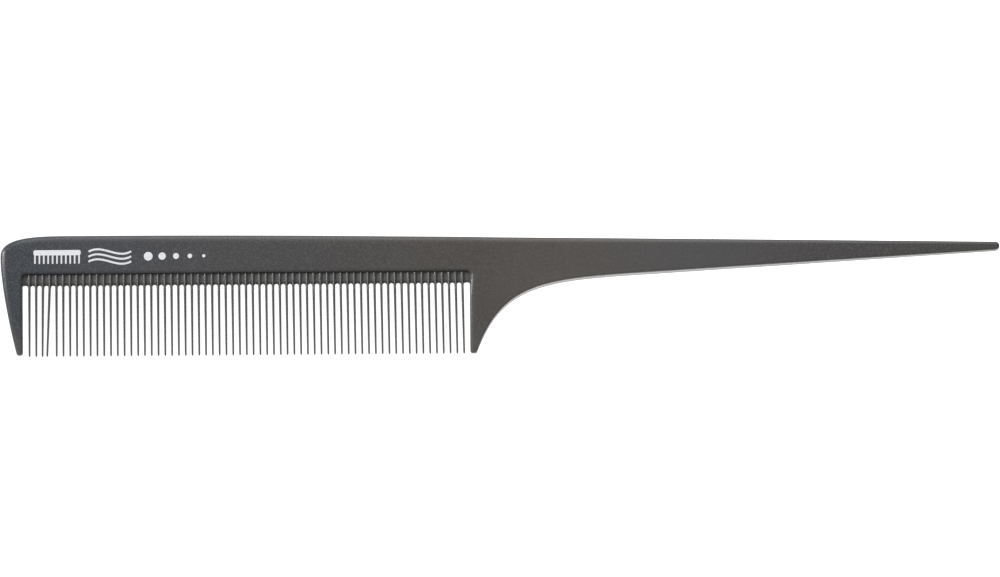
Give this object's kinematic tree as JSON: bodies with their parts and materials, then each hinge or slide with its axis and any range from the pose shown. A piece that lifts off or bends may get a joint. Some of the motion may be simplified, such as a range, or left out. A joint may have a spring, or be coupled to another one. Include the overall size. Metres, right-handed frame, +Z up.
{
  "type": "rat tail comb",
  "caption": "Flat fine-tooth styling comb with a stiff spine, a guard tooth at each end of the teeth, and a long tapering tail with a rounded parting tip.",
  "frame": {"origin": "under the middle of the comb's outline, on the surface that the comb lies on", "axes": "+X along the comb towards the tail's tip, +Y across it from the teeth towards the spine, +Z up through its thickness, out of the printed face"},
  "size_m": [0.216, 0.0264, 0.0036],
  "materials": {
    "comb_plastic": "satin",
    "print_ink": "matte"
  },
  "bodies": {
    "root": {"spine": "comb_plastic", "front_guard": "comb_plastic", "rear_guard": "comb_plastic", "tail": "comb_plastic", "tooth_root_bar": "comb_plastic", "fine_teeth": "comb_plastic", "printed_marks": "print_ink"}
  },
  "joints": []
}
